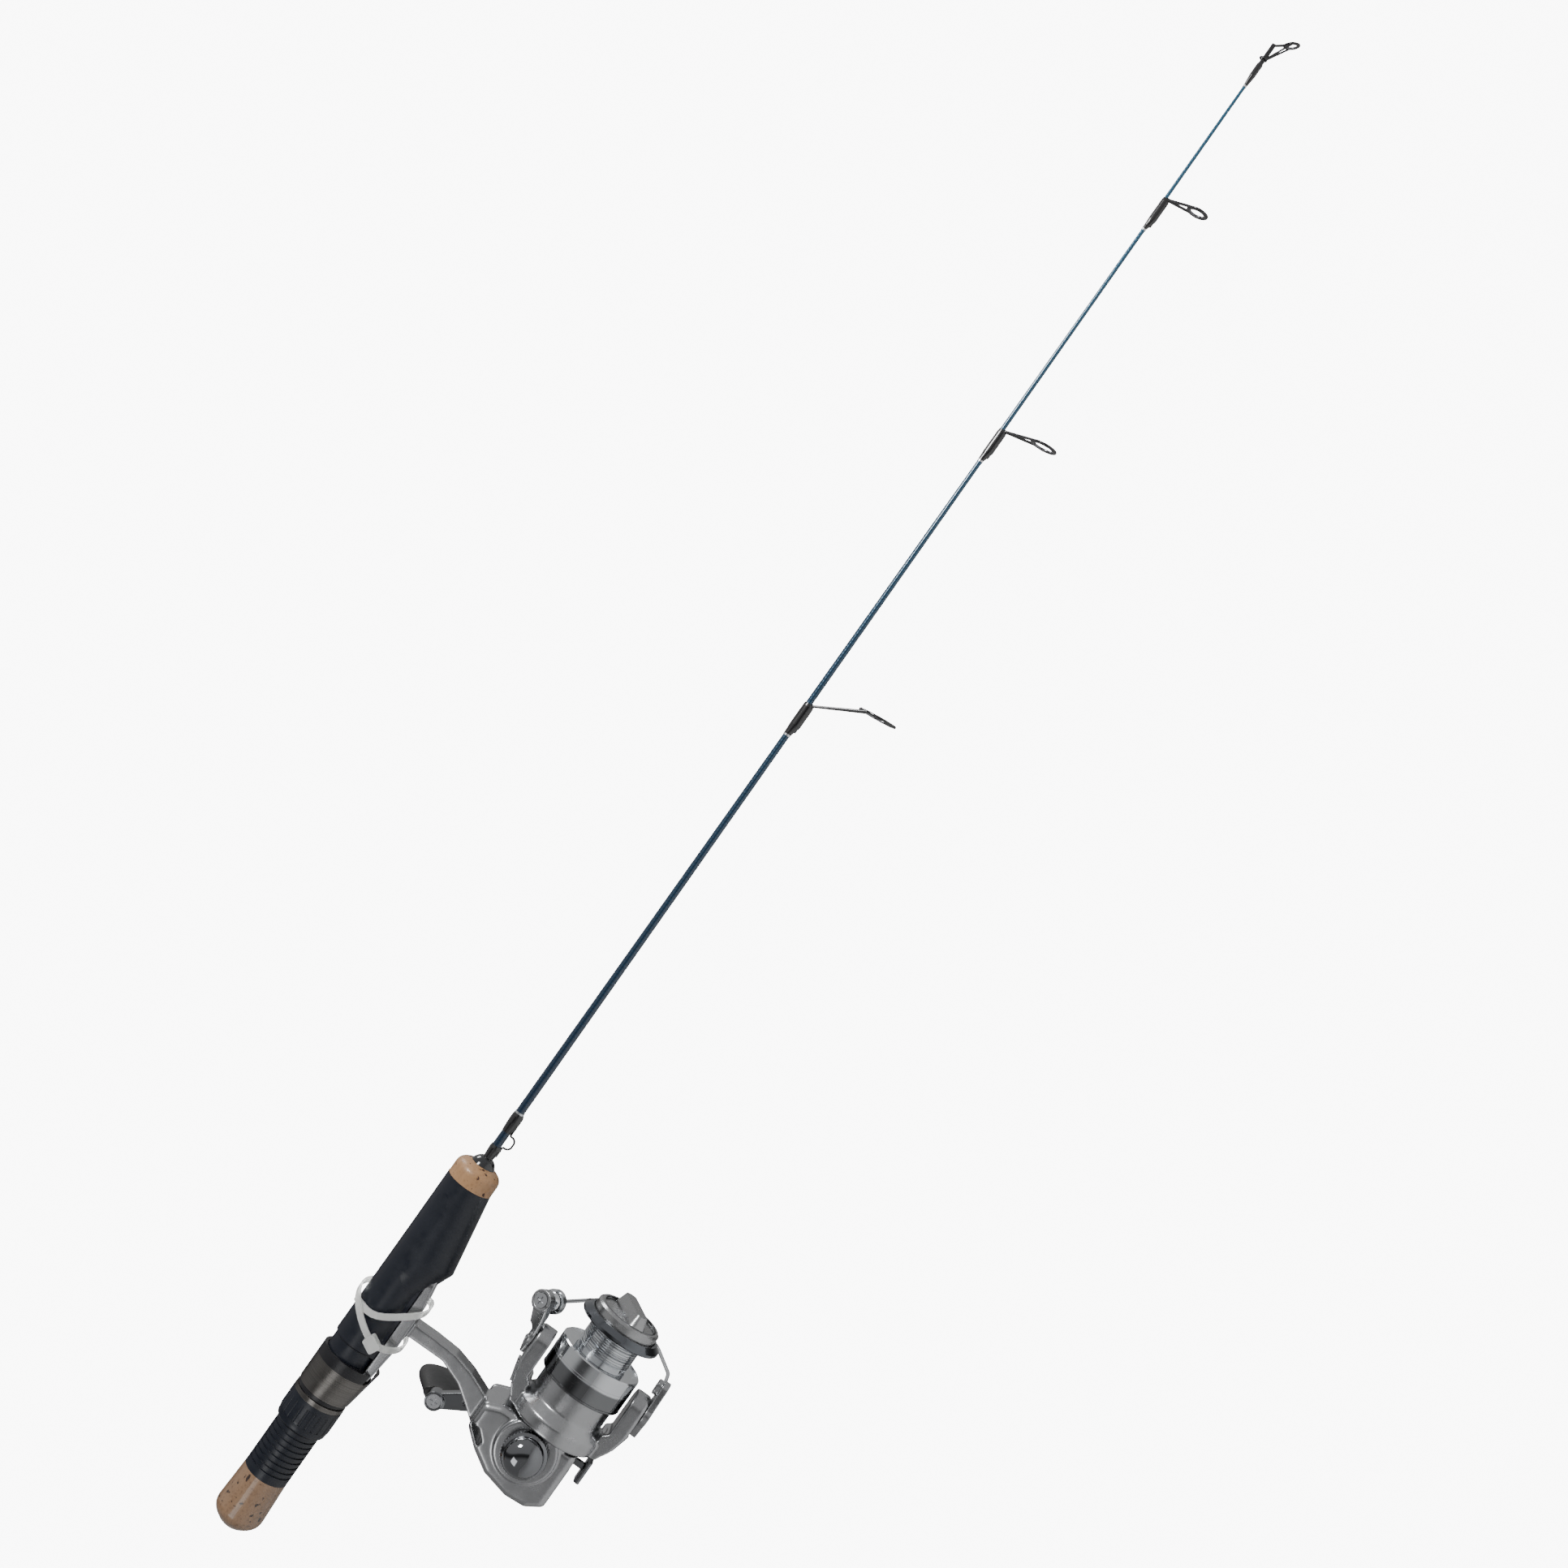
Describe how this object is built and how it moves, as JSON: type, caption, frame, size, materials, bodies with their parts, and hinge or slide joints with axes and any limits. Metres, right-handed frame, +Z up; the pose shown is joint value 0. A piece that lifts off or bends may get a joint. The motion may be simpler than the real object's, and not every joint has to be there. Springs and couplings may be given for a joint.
{
  "type": "ice fishing rod with spinning reel",
  "caption": "Short ice fishing rod with cork grips, thread-on reel seat, line guides and a spinning reel with bail, crank and drag knob.",
  "frame": {"origin": "centre of the butt cork's end face, on the rod's axis", "axes": "+X along the rod from the butt to the tip, +Z up with the reel hanging below, +Y to the crank handle's side"},
  "size_m": [0.711, 0.0984, 0.1221],
  "materials": {
    "cork_butt": "varnished",
    "cork_fore": "varnished",
    "blank_blue": "gloss",
    "thread_epoxy": "gloss",
    "trim_silver": "satin",
    "guide_black": "gloss",
    "guide_ring_dark": "polished",
    "check_metal": "gloss",
    "seat_navy": "semi-gloss",
    "arbor_foam": "matte",
    "hood_black": "semi-gloss",
    "gunmetal": "brushed",
    "satin_silver": "satin",
    "chrome": "polished",
    "dark_chrome": "polished",
    "knob_silver": "satin",
    "knob_black": "semi-gloss",
    "zinc_cast": "as cast",
    "brass": "machined",
    "steel": "polished",
    "acetal_white": "matte",
    "bushing_bronze": "oiled",
    "roller_chrome": "polished",
    "felt": "matte",
    "nylon_clear": "translucent"
  },
  "bodies": {
    "rod": {"blank": "blank_blue", "butt_cork": "cork_butt", "reel_seat": "seat_navy", "seat_arbors": "arbor_foam", "fore_cork": "cork_fore", "winding_check": "check_metal", "hook_keeper": "guide_black", "keeper_wraps": "thread_epoxy", "guide_wraps": "thread_epoxy", "trim_bands": "trim_silver", "guide_1_ring": "guide_ring_dark", "guide_2_ring": "guide_ring_dark", "guide_3_ring": "guide_ring_dark", "guide_1_frame": "guide_black", "guide_2_frame": "guide_black", "guide_3_frame": "guide_black", "tip_top_ring": "guide_ring_dark", "tip_top_frame": "guide_black", "reel_body": "satin_silver", "side_cover": "satin_silver", "cover_screws": "steel", "crank_bushes": "bushing_bronze", "pinion_bearing": "steel", "slider_guide_pin": "steel", "cable_tie": "nylon_clear"},
    "hood": {"hood_core": "hood_black", "hood_sleeve": "gunmetal"},
    "nut": {"lock_nut": "seat_navy", "nut_ring": "gunmetal"},
    "crank": {"crank_shaft": "steel", "drive_gear": "zinc_cast", "crank_spur": "brass", "ratchet_wheel": "steel", "screw_cap": "dark_chrome", "crank_arm": "dark_chrome", "knob_spindle": "steel"},
    "knob": {"handle_knob": "knob_black"},
    "oscillator": {"oscillation_gear": "acetal_white"},
    "rotor": {"pinion": "brass", "rotor": "satin_silver", "rotor_nut": "steel", "arm_covers": "satin_silver", "bail_spring": "steel", "bail_pivot_screws": "steel"},
    "bail": {"bail_arm": "satin_silver", "bail_wire": "roller_chrome", "bail_lever": "satin_silver", "roller_screw": "steel"},
    "roller": {"line_roller": "roller_chrome"},
    "shaft": {"main_shaft": "steel", "oscillation_slider": "zinc_cast"},
    "spool": {"spool": "chrome", "drag_washers": "felt", "washer_retainer": "steel"},
    "drag_knob": {"drag_knob": "knob_silver", "drag_nut": "brass", "drag_spring": "steel"},
    "lever": {"anti_reverse_lever": "dark_chrome", "anti_reverse_dog": "steel"}
  },
  "joints": [
    {"name": "nut_spin", "type": "hinge", "parent": "hood", "child": "nut", "pos_m": [0.0538, 0, 0], "axis": [1, 0, 0], "range_deg": [0, 1800]},
    {"name": "hood_slide", "type": "slide", "parent": "rod", "child": "hood", "axis": [1, 0, 0], "range_m": [-0.012, 0]},
    {"name": "crank_spin", "type": "hinge", "parent": "rod", "child": "crank", "pos_m": [0.094, 0, -0.0768], "axis": [0, 1, 0], "continuous": true},
    {"name": "knob_spin", "type": "hinge", "parent": "crank", "child": "knob", "pos_m": [0.06918, 0.0595, -0.03902], "axis": [0, 1, 0], "continuous": true},
    {"name": "oscillator_spin", "type": "hinge", "parent": "rod", "child": "oscillator", "pos_m": [0.08389, -0.008, -0.0808], "axis": [0, 1, 0], "continuous": true},
    {"name": "rotor_spin", "type": "hinge", "parent": "rod", "child": "rotor", "pos_m": [0.11, 0, -0.0808], "axis": [1, 0, 0], "continuous": true},
    {"name": "bail_swing", "type": "hinge", "parent": "rotor", "child": "bail", "pos_m": [0.128, 0, -0.0808], "axis": [0, 0, -1], "range_deg": [0, 105]},
    {"name": "roller_spin", "type": "hinge", "parent": "bail", "child": "roller", "pos_m": [0.1423, 0, -0.0518], "axis": [0, 0.866, -0.5], "continuous": true},
    {"name": "shaft_slide", "type": "slide", "parent": "rod", "child": "shaft", "axis": [1, 0, 0], "range_m": [-0.0054, 0.003]},
    {"name": "spool_spin", "type": "hinge", "parent": "shaft", "child": "spool", "pos_m": [0.142, 0, -0.0808], "axis": [1, 0, 0], "continuous": true},
    {"name": "drag_turn", "type": "hinge", "parent": "shaft", "child": "drag_knob", "pos_m": [0.152, 0, -0.0808], "axis": [1, 0, 0], "range_deg": [-360, 360]},
    {"name": "lever_swing", "type": "hinge", "parent": "rod", "child": "lever", "pos_m": [0.098, -0.005, -0.0918], "axis": [1, 0, 0], "range_deg": [0, 35]}
  ],
  "couplings": [
    {"joint": "hood_slide", "follows": "nut_spin", "m_per_rad": -0.000382},
    {"joint": "oscillator_spin", "follows": "crank_spin", "ratio": -0.93333},
    {"joint": "rotor_spin", "follows": "crank_spin", "ratio": -5}
  ]
}
